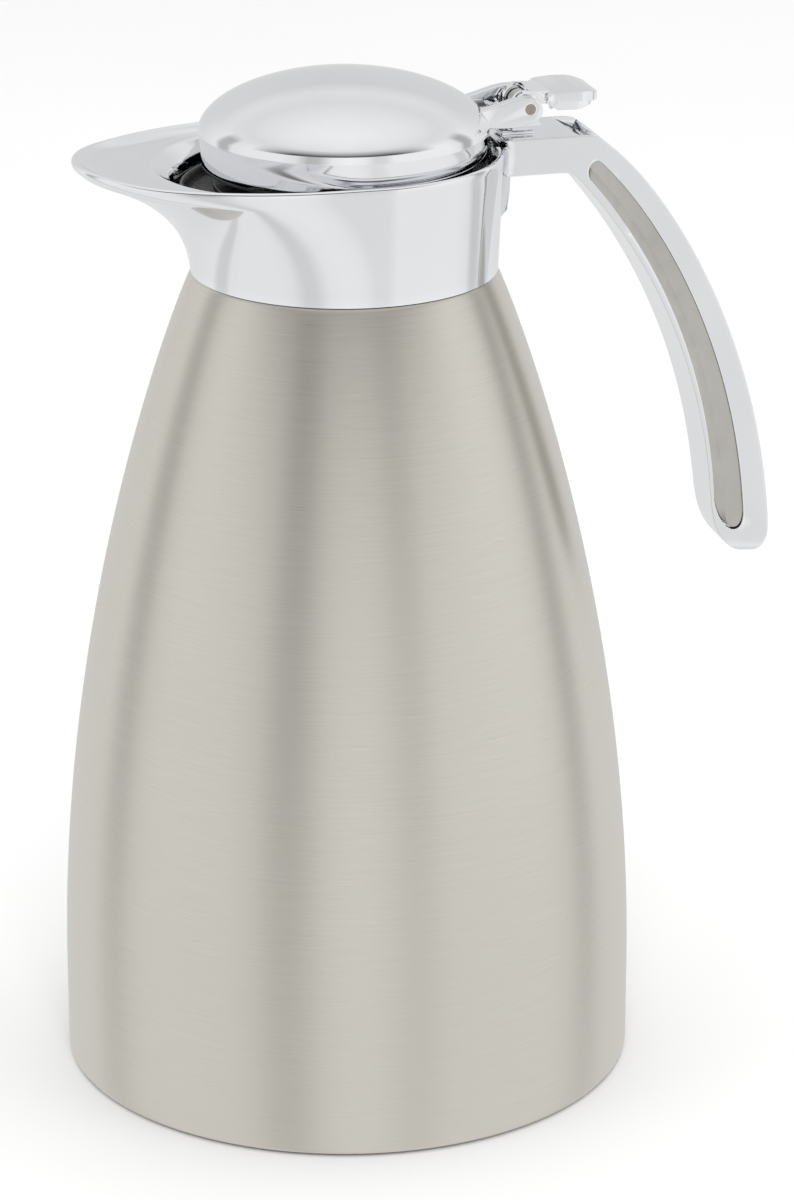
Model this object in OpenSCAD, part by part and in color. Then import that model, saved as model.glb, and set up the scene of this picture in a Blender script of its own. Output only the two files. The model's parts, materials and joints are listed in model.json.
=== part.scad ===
// Insulated coffee jug: double-walled steel vacuum body, cast collar with a pouring lip,
// sprung lid with a thumb lever, and an open side handle.
// The origin is the centre of the base. +X points to the handle, -X to the spout, +Z is up.

/* [Vacuum body] */
// Radius of the straight band above the base
base_r = 70; // [69:0.1:71]
// Height of the straight band
band_h = 21.4; // [16:0.2:26]
// Height of the steel body up to the collar
shoulder_h = 199.7; // [192:0.1:208]
// Radius of the steel body under the collar
shoulder_r = 36.4; // [36.3:0.05:36.5]
// Thickness of the jacket's sheet
jacket_wall = 0.6; // [0.5:0.05:0.8]
// Thickness of the flask's sheet
flask_wall = 0.5; // [0.4:0.05:0.6]
// Vacuum gap between jacket and flask
vacuum_gap = 7.8; // [7:0.1:8.5]

/* [Collar] */
// Height of the collar's rim above the steel body
rim_h = 28.9; // [28.5:0.1:29.3]
// Radius of the collar's rim at the back and sides
rim_r = 37.8; // [37.6:0.05:38]
// Reach of the pouring lip in front of the axis
lip_reach = 64.7; // [62:0.1:66]

/* [Lid] */
// Radius of the lid's dome at its widest
dome_r = 34.3; // [34.1:0.05:34.4]
// Rise of the dome above its widest circle
dome_rise = 13.7; // [12.5:0.1:14.5]
// How far the thumb lever opens the lid, in degrees
lid_travel = 26; // [20:1:28]

/* [Handle] */
// Width of the handle's arm
arm_w = 21; // [20.6:0.1:21.4]
// Width of the grip's back near its free end
grip_w = 13; // [12:0.1:14]

/* [Hidden] */

steel = "#b9b5aa";
chrome = "#d3d8da";
black = "#232427";
far = 400;          // cutting blocks reach well past every piece
eps = 0.05;         // gap left between faces that rest on each other

// ---- vacuum body, absolute heights ----
foot_h = 0.8;       // the jacket's edge above the table
cover_z = 1.6;      // underside of the base cover
jacket_floor = 7.4; // underside of the jacket's bottom
flask_floor = 16;   // underside of the flask
neck_r = 33;        // outside of the jacket's neck
mouth_r = 27.5;     // bore of the flask's mouth
flange_top = 16.3;  // top of the mouth's flange above the shoulder

// ---- hinge, in heights above the shoulder ----
pin_x = 43.1;
pin_z = 37.9;
pin_r = 1.2;
pin_bore_r = 1.25;
ear_out = 8.85;     // outer face of an ear
ear_in = 5.9;       // inner face of an ear
cheek_out = 5.6;    // outer face of a lever cheek
cheek_in = 4.2;     // inner face of a lever cheek
knuckle_out = 3.9;  // outer face of a bracket knuckle
knuckle_in = 2.7;   // inner face of a bracket knuckle
knuckle_r = 3.3;
lever_end = 60.6;   // tip of the thumb lever

// ---- handle, in heights above the shoulder ----
arm_top = 31.1;
arm_under = 22.4;
inlay_depth = 2.2;  // depth of an inlay's pocket
inlay_sunk = 0.5;   // how far an inlay's face lies under the grip's side

function bez(p, t) = pow(1 - t, 3) * p[0] + 3 * pow(1 - t, 2) * t * p[1]
                   + 3 * (1 - t) * t * t * p[2] + t * t * t * p[3];
function curve(p, n) = [for (i = [0:n]) bez(p, i / n)];
function reversed(l) = [for (i = [len(l) - 1:-1:0]) l[i]];
function mix(a, b, t) = a + (b - a) * t;
function sgn_pow(v, e) = sign(v) * pow(abs(v), e);

module head() translate([0, 0, shoulder_h]) children();

// A closed ring of stacked sections, all with the same number of points. Each entry of rings
// is one loop around the piece; the loops themselves close on each other.
module ring_loft(rings) {
    n = len(rings[0]);
    m = len(rings);
    polyhedron(
        points = [for (r = rings) for (p = r) p],
        faces = [for (k = [0:m - 1]) for (i = [0:n - 1])
            let (a = k * n + i, b = k * n + (i + 1) % n,
                 c = ((k + 1) % m) * n + (i + 1) % n, d = ((k + 1) % m) * n + i)
            for (f = [[a, b, c], [a, c, d]]) f],
        convexity = 6);
}

// A solid swept through sections, closed by a flat face at each end
module sweep(sections) {
    n = len(sections[0]);
    m = len(sections);
    polyhedron(
        points = [for (s = sections) for (p = s) p],
        faces = concat(
            [[for (i = [0:n - 1]) i]],
            [for (k = [0:m - 2]) for (i = [0:n - 1])
                let (a = k * n + i, b = k * n + (i + 1) % n, c = b + n, d = a + n)
                for (f = [[a, d, c], [a, c, b]]) f],
            [[for (i = [n - 1:-1:0]) (m - 1) * n + i]]),
        convexity = 6);
}

// ---- steel body ----

// Outline of the body as [radius, height] from the band to the shoulder, moved in by inset
function body_side(inset) = curve([[base_r - inset, band_h], [base_r - inset, 121.3],
                                   [shoulder_r + 0.8 - inset, shoulder_h - 0.3],
                                   [shoulder_r - inset, shoulder_h]], 24);

module outer_shell() color(steel) {
    neck_in = neck_r - jacket_wall;
    neck_top = shoulder_h + flange_top - jacket_wall;
    rotate_extrude($fn = 180) polygon(concat(
        [[base_r - 0.3, foot_h], [base_r, foot_h + 0.7]],
        body_side(0),
        [[shoulder_r - 0.4, shoulder_h + 0.3], [neck_r, shoulder_h + 0.3], [neck_r, neck_top],
         [neck_in, neck_top], [neck_in, shoulder_h - jacket_wall], [shoulder_r - 1.4, shoulder_h - jacket_wall]],
        reversed([for (p = body_side(jacket_wall)) if (p[1] < shoulder_h - 1.5) p]),
        [[base_r - jacket_wall, foot_h]]));
}

module inner_flask() color("#c9c7c0") {
    inset = jacket_wall + vacuum_gap;
    corner = 14;
    throat_z = shoulder_h - 3;
    outside = concat(
        [for (a = [0:10:90]) [base_r - inset - corner * (1 - sin(a)), flask_floor + corner * (1 - cos(a))]],
        [for (p = body_side(inset)) if (p[1] > flask_floor + corner + 1 && p[1] < throat_z - 1) p],
        [[mouth_r + flask_wall, throat_z]]);
    inside = [for (p = outside) [p[0] - flask_wall, max(p[1], flask_floor + flask_wall)]];
    top = shoulder_h + flange_top;
    rotate_extrude($fn = 180) polygon(concat(
        [[0, flask_floor]], outside,
        [[mouth_r + flask_wall, top - jacket_wall], [neck_r, top - jacket_wall], [neck_r, top], [mouth_r, top]],
        reversed(inside), [[0, flask_floor + flask_wall]]));
}

module jacket_bottom() color(steel) {
    r = base_r - jacket_wall - eps;
    t = 0.7;
    difference() {
        rotate_extrude($fn = 120) polygon([[0, jacket_floor], [20, jacket_floor], [24, jacket_floor + 2],
            [r - t, jacket_floor + 2], [r - t, jacket_floor - 3], [r, jacket_floor - 3],
            [r, jacket_floor + 2 + t], [24 - t, jacket_floor + 2 + t], [20 - t, jacket_floor + t],
            [0, jacket_floor + t]]);
        cylinder(r = 3, h = far, center = true, $fn = 48);
    }
}

module getter() color("#8f8f8f") translate([35, 0, jacket_floor + 2.7]) {
    cylinder(r = 5, h = 2, $fn = 48);
    translate([0, 0, 2]) cylinder(r = 3.5, h = 0.6, $fn = 48);
}

module evacuation_seal() color("#8a8c90") rotate_extrude($fn = 48)
    polygon([[0, jacket_floor - 1.2], [4.5, jacket_floor - 1.2], [5, jacket_floor], [3, jacket_floor],
             [3, jacket_floor + 0.9], [0, jacket_floor + 0.9]]);

module base_cover() color(black) rotate_extrude($fn = 120) {
    r = base_r - jacket_wall - eps;
    polygon([[0, cover_z], [54, cover_z], [54, cover_z + 0.8], [64, cover_z + 0.8], [64, cover_z],
             [r - 0.4, cover_z], [r, cover_z + 0.4], [r, cover_z + 2.2], [0, cover_z + 2.2]]);
}

module foot_ring() color("#4a4b4e") rotate_extrude($fn = 120)
    polygon([[54.4, 0], [63.6, 0], [64, 0.4], [64, cover_z + 0.8], [54, cover_z + 0.8], [54, 0.4]]);

// ---- collar ----

// One loop of the collar: a half circle of radius b at the back, drawn out in front to reach tip
function egg(b, tip, z, lift = 0, n = 72) =
    let (s = max(0, (tip - b) / (lip_reach - rim_r)), u = 9 * s, a = tip - u, e = 2 / (2 + 0.15 * s))
    [for (i = [0:n - 1]) let (t = i * 360 / n, c = cos(t), w = max(0, -c))
        [c >= 0 ? b * c : -u * min(1, 6 * w) - a * pow(w, e),
         b * sgn_pow(sin(t), c >= 0 ? 1 : e), z + lift * pow(w, 4)]];

// Radius of the collar's outside at the back and sides
function wall_r(z) = mix(36.5, rim_r, z / rim_h);

module spout_collar() color(chrome) head() {
    lip = [[36.6, 0.5], [37.6, 11], [43.5, 20], [62.6, 25.7]];
    outside = [for (p = curve(lip, 8)) egg(wall_r(p[1]), max(p[0], wall_r(p[1])), p[1])];
    rim = [egg(rim_r, lip_reach - 0.3, rim_h - 1.4, 0.4), egg(rim_r, lip_reach, rim_h - 0.6, 0.8),
           egg(rim_r - 0.3, lip_reach - 0.3, rim_h, 0.9), egg(rim_r - 1.1, lip_reach - 1.2, rim_h, 0.9),
           egg(rim_r - 1.6, lip_reach - 1.8, rim_h - 0.5, 0.7)];
    dish = [egg(36.1, 61, 27.5, 0.3), egg(36, 53, 27), egg(35.9, 46.3, 26.9), egg(35.9, 45.6, 26.5),
            egg(35.9, 41.8, 24.3), egg(35.9, 41.2, 23.6), egg(35.9, 36.3, 14.4)];
    socket = [egg(neck_r + 0.1, neck_r + 0.1, 14.4), egg(neck_r + 0.1, neck_r + 0.1, 0.5)];
    difference() {
        ring_loft(concat(outside, rim, dish, socket));
        for (v = [-3, 3]) translate([30, v, rivet_z]) rotate([0, 90, 0]) cylinder(r = 0.9, h = 12, $fn = 32);
    }
}

module retaining_ring() color("#9a9da1") head() rotate_extrude($fn = 120)
    polygon([[neck_r + 0.1, 14.45], [35.7, 14.45], [35.7, 15.8], [35.3, flange_top], [neck_r + 0.1, flange_top]]);

module neck_gasket() color("#e4e2da") head() rotate_extrude($fn = 120)
    polygon([[28.3, flange_top], [32.8, flange_top], [32.8, 17.25], [28.3, 17.25]]);

module collar_liner() color(black) head()
    ring_loft([egg(28.2, 28.2, 17.3), egg(35.7, 36.9, 17.3), egg(35.7, 40.5, 23.3), egg(34.6, 39.5, 23.3),
               egg(34.5, 37, 19.2), egg(31.5, 31.5, 18.1), egg(28.6, 28.6, 18.1), egg(28.2, 28.2, 17.8)]);

// ---- handle ----

inner_line = [[53.8, 21.9], [65.8, 8.7], [86.8, -18.5], [90.8, -63.2]];
outer_line = [[58.6, arm_top], [73.8, 22.5], [102.3, -19], [106.1, -72.1]];
end_point = [102.3, -79];
taper = atan((arm_w - grip_w) / 2 / (arm_under - end_point[1]));    // lean of the grip's sides

// Half width of the handle at height z, the same over the arm and tapering down the grip
function half_w(z) = arm_w / 2 - max(0, arm_under - z) * tan(taper);

// Outline stations of the arm, the grip and the rounded end: [inner point, outer point, share of the width]
function arm_stations() = [for (x = [36, 42, 48, 52])
    [[x, arm_under + 0.3 * (x - 52) / 16], [x + (x - 36) * 0.2, arm_top], 1]];
function grip_station(t) = [bez(inner_line, t), bez(outer_line, t), 1];
function end_stations(n) = [for (i = [1:n]) let (a = 86 * i / n, s = sin(a), c = cos(a))
    let (pin = inner_line[3], pout = outer_line[3])
    [[mix(end_point[0], pin[0], c), mix(pin[1], end_point[1], s)],
     [mix(end_point[0], pout[0], c), mix(pout[1], end_point[1], s)], sqrt(c)]];

// One cross section of the handle, flat sided with soft corners, between two outline points
function soft_section(st, n = 24) =
    let (c = (st[0] + st[1]) / 2, d = (st[1] - st[0]) / 2)
    [for (i = [0:n - 1]) let (a = i * 360 / n, p = sgn_pow(cos(a), 0.4), q = sgn_pow(sin(a), 0.4))
        [c[0] + d[0] * p, half_w(c[1] + d[1] * p) * st[2] * q, c[1] + d[1] * p]];

// Outline of an inlay between grip positions inlay_t, grown all round by a share of the grip's depth
inlay_t = [0.05, 0.98];
function inlay_outline(grow, n = 24) =
    let (t = [for (i = [0:n]) mix(inlay_t[0] - grow, inlay_t[1] + grow, i / n)],
         round_end = [for (i = [0:n]) pow(1 - 0.9 * pow(abs(2 * i / n - 1), 24), 0.5)],
         edge = function (i, f) mix(bez(inner_line, t[i]), bez(outer_line, t[i]),
                                    mix(0.39 - 0.08 * t[i], f, round_end[i])))
    concat([for (i = [0:n]) edge(i, 0.18 - 0.12 * t[i] - grow)],
           [for (i = [n:-1:0]) edge(i, 0.6 - 0.04 * t[i] + grow)]);

// A bar of that outline along one side of the grip, between two depths under the tapering side
module inlay_block(side, top, floor_depth, grow) {
    translate([0, side * arm_w / 2, arm_under]) rotate([-side * taper, 0, 0])
        translate([0, side > 0 ? -top : floor_depth, 0]) rotate([90, 0, 0]) linear_extrude(floor_depth - top)
            polygon([for (p = inlay_outline(grow)) [p[0], p[1] - arm_under]]);
}

rivet_z = 26.2;
anchor_x = 43;      // back end of the anchor lug
anchor_w = 8;
anchor_h = 5;

// Everything inside the collar's outside face
module collar_core(gap) cylinder(r1 = 36.5 + gap, r2 = mix(36.5, rim_r, 40 / rim_h) + gap, h = 40, $fn = 180);

// The arc that the thumb lever sweeps, and the sloping floor that stops it
module lever_pocket() intersection() {
    translate([pin_x, 9.2, pin_z]) rotate([90, 0, 0]) cylinder(r = lever_end - pin_x + 0.8, h = 18.4, $fn = 90);
    translate([pin_x, -20, pin_z]) rotate([0, lid_travel, 0]) translate([2, 0, -1.4]) cube([40, 40, 40]);
    translate([45, -20, 20]) cube([40, 40, 40]);
}

module handle() color(chrome) head() difference() {
    sweep([for (s = concat(arm_stations(), [for (i = [0:22]) grip_station(i / 22)], end_stations(6)))
        soft_section(s)]);
    collar_core(0.1);
    lever_pocket();
    for (side = [-1, 1]) inlay_block(side, -3, inlay_depth, 0.004);
    for (v = [-1.8, 1.8]) translate([pin_x - 4.7, v, arm_top - 1.7]) cylinder(r = 0.8, h = 4, $fn = 32);
    translate([30, -anchor_w / 2 - eps, rivet_z - anchor_h / 2 - eps])
        cube([anchor_x - 30 + 0.2, anchor_w + 2 * eps, anchor_h + 2 * eps]);
    translate([anchor_x - 2.6, 20, rivet_z]) rotate([90, 0, 0]) cylinder(r = 1, h = 40, $fn = 32);
}

module handle_inlay_near() color("#a9a69b") head() inlay_block(-1, inlay_sunk, inlay_depth - eps, 0);
module handle_inlay_far() color("#a9a69b") head() inlay_block(1, inlay_sunk, inlay_depth - eps, 0);

module handle_anchor() color("#9a9da1") head() difference() {
    translate([30, -anchor_w / 2, rivet_z - anchor_h / 2]) cube([anchor_x - 30, anchor_w, anchor_h]);
    collar_core(0.05);
    translate([anchor_x - 2.6, 20, rivet_z]) rotate([90, 0, 0]) cylinder(r = 1, h = 40, $fn = 32);
    for (v = [-3, 3]) translate([30, v, rivet_z]) rotate([0, 90, 0]) cylinder(r = 0.9, h = 10, $fn = 32);
}

module anchor_rivets() color("#9a9da1") head() for (v = [-3, 3]) translate([35, v, rivet_z]) rotate([0, 90, 0]) {
    cylinder(r = 1.6, h = 0.6, $fn = 32);
    cylinder(r = 0.9, h = 4.2, $fn = 32);
}

module handle_pin() color("#8f9296") head() translate([anchor_x - 2.6, arm_w / 2 - 0.4, rivet_z])
    rotate([90, 0, 0]) cylinder(r = 1, h = arm_w - 0.8, $fn = 32);

// ---- hinge ----

module across(half) translate([0, half, 0]) rotate([90, 0, 0]) linear_extrude(2 * half) children();
module pin_hole(r) translate([pin_x, 20, pin_z]) rotate([90, 0, 0]) cylinder(r = r, h = 40, $fn = 48);

module hinge_bracket() color(chrome) head() {
    foot = 1.6;
    difference() {
        union() {
            across(knuckle_out) {
                translate([pin_x, pin_z]) circle(r = knuckle_r, $fn = 48);
                polygon([[pin_x - 2.6, pin_z - 2], [pin_x + 2.9, pin_z - 1.5], [pin_x + 3.5, pin_z - 3.6],
                         [pin_x + 4.3, arm_top + foot], [pin_x + 5.6, arm_top + 0.5], [pin_x + 5.6, arm_top],
                         [pin_x - 3, arm_top], [pin_x - 3, arm_top + foot]]);
            }
            translate([pin_x - 6.4, -5.6, arm_top]) cube([8.4, 11.2, foot]);
        }
        across(knuckle_in) translate([pin_x, pin_z]) circle(r = knuckle_r + 1.2, $fn = 48);
        pin_hole(pin_bore_r);
        for (v = [-1.8, 1.8]) translate([pin_x - 4.7, v, 0]) cylinder(r = 0.8, h = far, $fn = 32);
    }
}

module bracket_screws() color("#8f9296") head() for (v = [-1.8, 1.8]) translate([pin_x - 4.7, v, arm_top - 1.7]) {
    cylinder(r = 0.8, h = 3.3, $fn = 32);
    translate([0, 0, 3.3]) cylinder(r = 1.2, h = 0.7, $fn = 32);
}

ear_outline = [[31, 34], [32.8, 33.9], [39.5, 33.5], [41, 33.6]];

module ear_plan() {
    polygon(concat(ear_outline, [[pin_x, pin_z - 3.3], [pin_x, pin_z + 2.6], [38.2, 40], [35.3, 39.2], [31, 38.2]]));
    translate([pin_x, pin_z - 0.35]) circle(r = 3.05, $fn = 48);
}

// Everything inside the dome's outside face
module dome_core(gap) rotate_extrude($fn = 180)
    polygon(concat([[0, 20], [dome_r + gap, 20]], dome_side(gap), [[0, 33.8 + dome_rise + gap]]));

module hinge_yoke() color(chrome) head() difference() {
    union() {
        for (v = [-ear_out, ear_in]) translate([0, v + ear_out - ear_in, 0]) rotate([90, 0, 0])
            linear_extrude(ear_out - ear_in) ear_plan();
        translate([30, -ear_in, 34]) cube([5.6, 2 * ear_in, 3.4]);
    }
    dome_core(eps);
    pin_hole(pin_bore_r - 0.05);
    for (v = [-3, 3]) translate([29, v, 35.7]) rotate([0, 90, 0]) cylinder(r = 0.8, h = 6, $fn = 32);
}

module yoke_screws() color("#8f9296") head() for (v = [-3, 3]) translate([31, v, 35.7]) rotate([0, 90, 0]) {
    cylinder(r = 1.3, h = 0.8, $fn = 32);
    cylinder(r = 0.8, h = 4, $fn = 32);
}

module thumb_lever() color(chrome) head() {
    top = 41.6;
    under = 36.9;
    difference() {
        union() {
            // plate with rounded free corners
            intersection() {
                translate([0, 0, under]) linear_extrude(top - under) {
                    translate([47.6, -9]) square([lever_end - 3.5 - 47.6, 18]);
                    translate([47.6, -5.5]) square([lever_end - 47.6, 11]);
                    for (v = [-5.5, 5.5]) translate([lever_end - 3.5, v]) circle(r = 3.5, $fn = 48);
                }
                across(12) polygon([[47.6, 38.2], [49.5, under], [64, under + 0.5], [64, top - 0.9], [57, top],
                                    [51, top], [47.6, top - 0.6]]);
            }
            // neck over the knuckles and one cheek on each side
            across(cheek_out) polygon([[pin_x - 0.8, pin_z + 3.6], [48, pin_z + 3.2], [48, pin_z + 0.3],
                                       [pin_x + 3.75, pin_z + 0.3], [pin_x + 2.6, pin_z + 2.4],
                                       [pin_x - 0.8, pin_z + 2.4]]);
            for (v = [-cheek_in, cheek_out]) translate([pin_x, v, pin_z]) rotate([90, 0, 0])
                cylinder(r = 3, h = cheek_out - cheek_in, $fn = 48);
        }
        across(cheek_in) translate([pin_x, pin_z]) circle(r = knuckle_r + 0.4, $fn = 48);
        pin_hole(pin_bore_r - 0.05);
        // hollow underside
        translate([50, -7.6, under - 1]) cube([lever_end - 52, 15.2, 3.4]);
    }
}

module hinge_pin() color("#b3a18c") head() translate([pin_x, ear_out, pin_z]) rotate([90, 0, 0])
    cylinder(r = pin_r, h = 2 * ear_out, $fn = 48);

coil_r = 2.35;
wire_r = 0.4;
coil_turns = 5;

// A round wire along a list of points
function wire_ring(p, dir, r, n = 8) =
    let (z = dir / norm(dir), ref = abs(z[1]) < 0.9 ? [0, 1, 0] : [1, 0, 0],
         x = cross(ref, z) / norm(cross(ref, z)), y = cross(z, x))
    [for (i = [0:n - 1]) p + r * (cos(i * 360 / n) * x + sin(i * 360 / n) * y)];

module torsion_spring() color("#a8aaac") head() {
    pitch = 0.9;
    steps = 16;
    a0 = 150;
    total = coil_turns * 360 + 60;
    coil = [for (i = [0:steps * coil_turns + 3]) let (a = a0 + total * i / (steps * coil_turns + 3))
        [pin_x + coil_r * cos(a), pitch * coil_turns * (i / (steps * coil_turns + 3) - 0.5), pin_z + coil_r * sin(a)]];
    path = concat([[36.2, coil[0][1], pin_z - 1.8], [pin_x - 4, coil[0][1], pin_z - 1]], coil,
                  [[pin_x + 0.4, coil[len(coil) - 1][1], pin_z - 3.9]]);
    m = len(path);
    sweep([for (i = [0:m - 1]) wire_ring(path[i], path[min(m - 1, i + 1)] - path[max(0, i - 1)], wire_r)]);
}

// ---- lid ----

// Outline of the dome as [radius, height], from its lower crease to its apex, moved out by gap
function dome_side(gap) = let (a = dome_r + gap, c = dome_rise + gap)
    [for (t = [-12:6:90]) [a * sgn_pow(cos(t), 1.04), 33.8 + c * sgn_pow(sin(t), 1.06)]];

module lid_cover() color(chrome) head() difference() {
    rotate_extrude($fn = 180) polygon(concat(dome_side(0), reversed(dome_side(-0.9))));
    for (v = [-3, 3]) translate([28, v, 35.7]) rotate([0, 90, 0]) cylinder(r = 0.85, h = 12, $fn = 32);
}

module lid_ring() color(chrome) head() rotate_extrude($fn = 180)
    polygon([[32.3, 25.3], [33.2, 25.3], [33.6, 25.9], [33.7, 29.8], [33.4, 30.6], [32.3, 30.6]]);

module lid_carrier() color(black) head() difference() {
    rotate_extrude($fn = 120) polygon([[0, 28], [32.2, 28], [32.2, 31], [0, 31]]);
    for (a = [60:120:300]) rotate(a) translate([22.8, 0, 0]) {
        cylinder(r = 1.3, h = far, center = true, $fn = 32);
        translate([0, 0, 29.4]) cylinder(r = 2.7, h = 5, $fn = 32);
    }
}

module lid_insulation() color("#e9e4d2") head() difference() {
    intersection() {
        rotate_extrude($fn = 120) polygon(concat([[0, 20]], dome_side(-1.1), [[0, 33.8 + dome_rise - 1.1]]));
        translate([-40, -40, 31.1]) cube([80, 80, 14]);
    }
    translate([30, -6, 33]) cube([10, 12, 6]);
}

module stopper_body() color(black) head() difference() {
    rotate_extrude($fn = 120) polygon([[0, 5.3], [20.8, 5.3], [22, 6.5], [25, 14], [25.2, 18.5], [25.2, 20.1],
        [31, 20.1], [31, 21.7], [26.5, 22.5], [26.5, 27.95], [19.5, 27.95], [19.5, 7.3], [0, 7.3]]);
    for (a = [60:120:300]) rotate(a) translate([22.8, 0, 17]) cylinder(r = 1.3, h = 20, $fn = 32);
}

module stopper_insulation() color("#e9e4d2") head() translate([0, 0, 7.35]) cylinder(r = 19.4, h = 20.4, $fn = 120);

module stopper_seal() color("#c9c7c2") head() rotate_extrude($fn = 120)
    polygon([[25.3, 18.5], [29.5, 18.5], [30.5, 18.9], [30.8, 20.05], [25.3, 20.05]]);

module stopper_screws() color("#8f9296") head() for (a = [60:120:300]) rotate(a) translate([22.8, 0, 18]) {
    cylinder(r = 1.3, h = 11.4, $fn = 32);
    translate([0, 0, 11.4]) cylinder(r = 2.6, h = 1.5, $fn = 32);
}

outer_shell();
inner_flask();
jacket_bottom();
getter();
evacuation_seal();
base_cover();
foot_ring();
spout_collar();
retaining_ring();
neck_gasket();
collar_liner();
handle();
handle_inlay_near();
handle_inlay_far();
handle_anchor();
anchor_rivets();
handle_pin();
hinge_bracket();
bracket_screws();
lid_cover();
lid_ring();
lid_carrier();
lid_insulation();
stopper_body();
stopper_insulation();
stopper_seal();
stopper_screws();
hinge_yoke();
yoke_screws();
thumb_lever();
hinge_pin();
torsion_spring();
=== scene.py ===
import json
import math

import bmesh
import bpy
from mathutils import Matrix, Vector


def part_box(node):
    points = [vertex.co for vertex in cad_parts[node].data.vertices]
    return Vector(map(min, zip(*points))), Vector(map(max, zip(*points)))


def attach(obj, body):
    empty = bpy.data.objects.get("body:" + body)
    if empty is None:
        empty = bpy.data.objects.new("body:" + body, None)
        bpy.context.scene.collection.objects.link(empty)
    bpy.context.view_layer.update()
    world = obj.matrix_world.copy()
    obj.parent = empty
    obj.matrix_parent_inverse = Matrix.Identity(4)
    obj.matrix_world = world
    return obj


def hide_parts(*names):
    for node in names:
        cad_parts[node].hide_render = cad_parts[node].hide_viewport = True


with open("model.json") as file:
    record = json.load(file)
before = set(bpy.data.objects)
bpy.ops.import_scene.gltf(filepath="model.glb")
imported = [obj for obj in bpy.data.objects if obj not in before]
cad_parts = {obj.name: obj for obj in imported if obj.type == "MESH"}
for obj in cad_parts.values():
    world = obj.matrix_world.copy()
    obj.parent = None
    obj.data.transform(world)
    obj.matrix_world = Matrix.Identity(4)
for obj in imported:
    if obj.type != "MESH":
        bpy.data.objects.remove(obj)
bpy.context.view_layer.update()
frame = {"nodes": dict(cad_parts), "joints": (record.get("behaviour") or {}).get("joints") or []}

MM = 0.001
TINY = 0.00001
MERGE = 0.000004
nodes = frame["nodes"]

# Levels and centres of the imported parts, in millimetres
shell_low, shell_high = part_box("outer_shell")
collar_low, collar_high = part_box("spout_collar")
pin_low, pin_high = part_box("hinge_pin")
BASE_R = shell_high.x / MM
FOOT_Z = shell_low.z / MM
HEAD = collar_low.z / MM - 0.5
PIN_X = (pin_low.x + pin_high.x) / 2 / MM
PIN_Z = (pin_low.z + pin_high.z) / 2 / MM
LIP_REACH = -collar_low.x / MM
RIM_R = collar_high.x / MM
LID_TRAVEL = math.radians(max(frame["joints"][0]["range_deg"]))


# ---- small helpers ----

def mix(a, b, t):
    return a + (b - a) * t


def bezier(p, t):
    """A point of the curve with these four control points."""
    s = 1 - t
    return tuple(s**3 * a + 3 * s * s * t * b + 3 * s * t * t * c + t**3 * d
                 for a, b, c, d in zip(*p))


def select_nothing():
    if bpy.context.mode != "OBJECT":
        bpy.ops.object.mode_set(mode="OBJECT")
    bpy.ops.object.select_all(action="DESELECT")


def edit():
    bpy.ops.object.mode_set(mode="EDIT")


def leave():
    bpy.ops.object.mode_set(mode="OBJECT")


def take_all():
    bpy.ops.mesh.select_all(action="SELECT")


def settle():
    """Puts the object's own place, turn and scale into its mesh."""
    bpy.ops.object.transform_apply(location=True, rotation=True, scale=True)


def make_active(obj):
    select_nothing()
    obj.select_set(True)
    bpy.context.view_layer.objects.active = obj


def take(kind, wanted):
    """In edit mode, selects the vertices, edges or faces for which wanted says yes."""
    bpy.ops.mesh.select_mode(type=kind)
    bpy.ops.mesh.select_all(action="DESELECT")
    mesh = bmesh.from_edit_mesh(bpy.context.object.data)
    mesh.normal_update()
    group = {"VERT": mesh.verts, "EDGE": mesh.edges, "FACE": mesh.faces}[kind]
    count = 0
    for item in group:
        if wanted(item):
            item.select_set(True)
            count += 1
    mesh.select_flush_mode()
    bmesh.update_edit_mesh(bpy.context.object.data)
    return count


def keep_of_selected(wanted):
    """In edit mode, keeps only those selected vertices for which wanted says yes."""
    mesh = bmesh.from_edit_mesh(bpy.context.object.data)
    for v in mesh.verts:
        if v.select and not wanted(v):
            v.select_set(False)
    mesh.select_flush_mode()
    bmesh.update_edit_mesh(bpy.context.object.data)


def add_modifier(kind, **settings):
    """Adds a modifier to the active object and applies it."""
    obj = bpy.context.object
    mod = obj.modifiers.new(kind.title(), kind)
    for key, value in settings.items():
        setattr(mod, key, value)
    bpy.ops.object.modifier_apply(modifier=mod.name)


def bevel_edges(width, segments, angle):
    add_modifier("BEVEL", width=width * MM, segments=segments, limit_method="ANGLE",
                 angle_limit=math.radians(angle), use_clamp_overlap=True,
                 miter_outer="MITER_ARC", harden_normals=False)


def subdivide(levels):
    add_modifier("SUBSURF", levels=levels, render_levels=levels)


def mirror_y():
    add_modifier("MIRROR", use_axis=(False, True, False), use_clip=True,
                 use_mirror_merge=True, merge_threshold=0.0001)


def cut(obj, cutter, operation="DIFFERENCE"):
    """Cuts one object with another and removes the other."""
    make_active(obj)
    mod = obj.modifiers.new("Cut", "BOOLEAN")
    mod.operation = operation
    mod.solver = "EXACT"
    mod.object = cutter
    bpy.ops.object.modifier_apply(modifier=mod.name)
    bpy.data.objects.remove(cutter)


def clean_mesh():
    edit()
    take_all()
    bpy.ops.mesh.remove_doubles(threshold=MERGE)
    bpy.ops.mesh.normals_make_consistent(inside=False)
    leave()


def done(name, body, material, replaced=(), smooth=35):
    """Names the active object, sets its place in its mesh, shades it smooth, gives it its material,
    hangs it under its body and hides the parts it replaces.
    """
    obj = bpy.context.object
    obj.name = name
    obj.data.name = name
    settle()
    if smooth:
        bpy.ops.object.shade_smooth_by_angle(angle=math.radians(smooth))
    obj.data.materials.clear()
    obj.data.materials.append(material)
    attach(obj, body)
    if replaced:
        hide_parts(*replaced)
    select_nothing()
    return obj


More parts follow.
